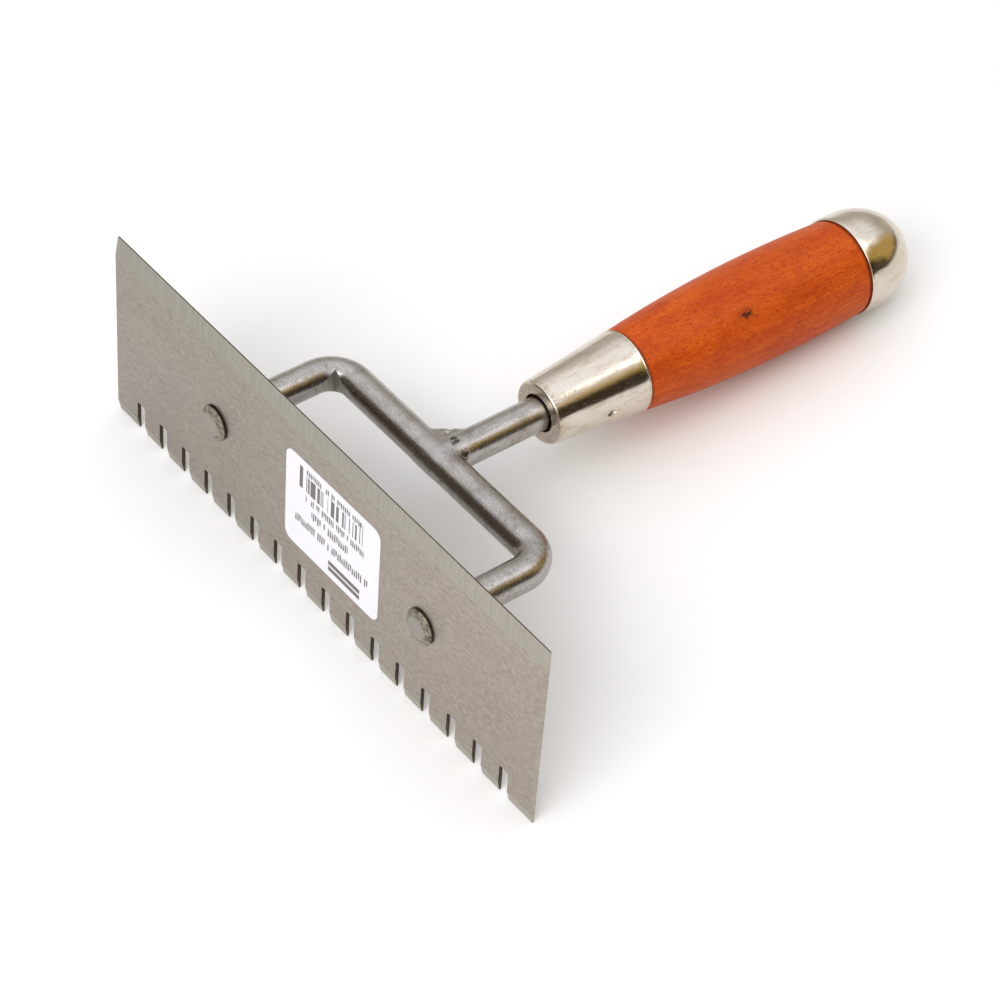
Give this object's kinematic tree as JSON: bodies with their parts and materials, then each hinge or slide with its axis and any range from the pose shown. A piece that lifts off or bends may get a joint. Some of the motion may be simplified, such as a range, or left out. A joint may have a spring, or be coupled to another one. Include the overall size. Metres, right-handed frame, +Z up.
{
  "type": "notched trowel",
  "caption": "Toothed finishing trowel with a flat steel blade, one straight and one notched edge, a bent bar behind it and a turned wooden handle set square to the blade.",
  "frame": {"origin": "middle of the ground that the trowel covers as it lies on its teeth and end cap, at ground level", "axes": "+X along the blade, +Y from the blade towards the end of the handle, +Z up, with the toothed edge down and the straight edge up"},
  "size_m": [0.18, 0.2, 0.0598],
  "materials": {
    "blade_steel": "fine brushed along the blade",
    "bar_steel": "ground and polished round bar",
    "weld_metal": "ground smooth, slightly pitted",
    "nickel_plate": "warm nickel plate, polished",
    "brad_steel": "dull steel",
    "varnished_wood": "orange-red stain under gloss varnish",
    "label_paper": "white coated paper with plain printed bars"
  },
  "bodies": {
    "root": {"blade": "blade_steel", "stirrup": "bar_steel", "stem": "bar_steel", "weld_bead": "weld_metal", "ferrule": "nickel_plate", "ferrule_brad": "brad_steel", "grip": "varnished_wood", "end_cap": "nickel_plate", "label": "label_paper"}
  },
  "joints": []
}
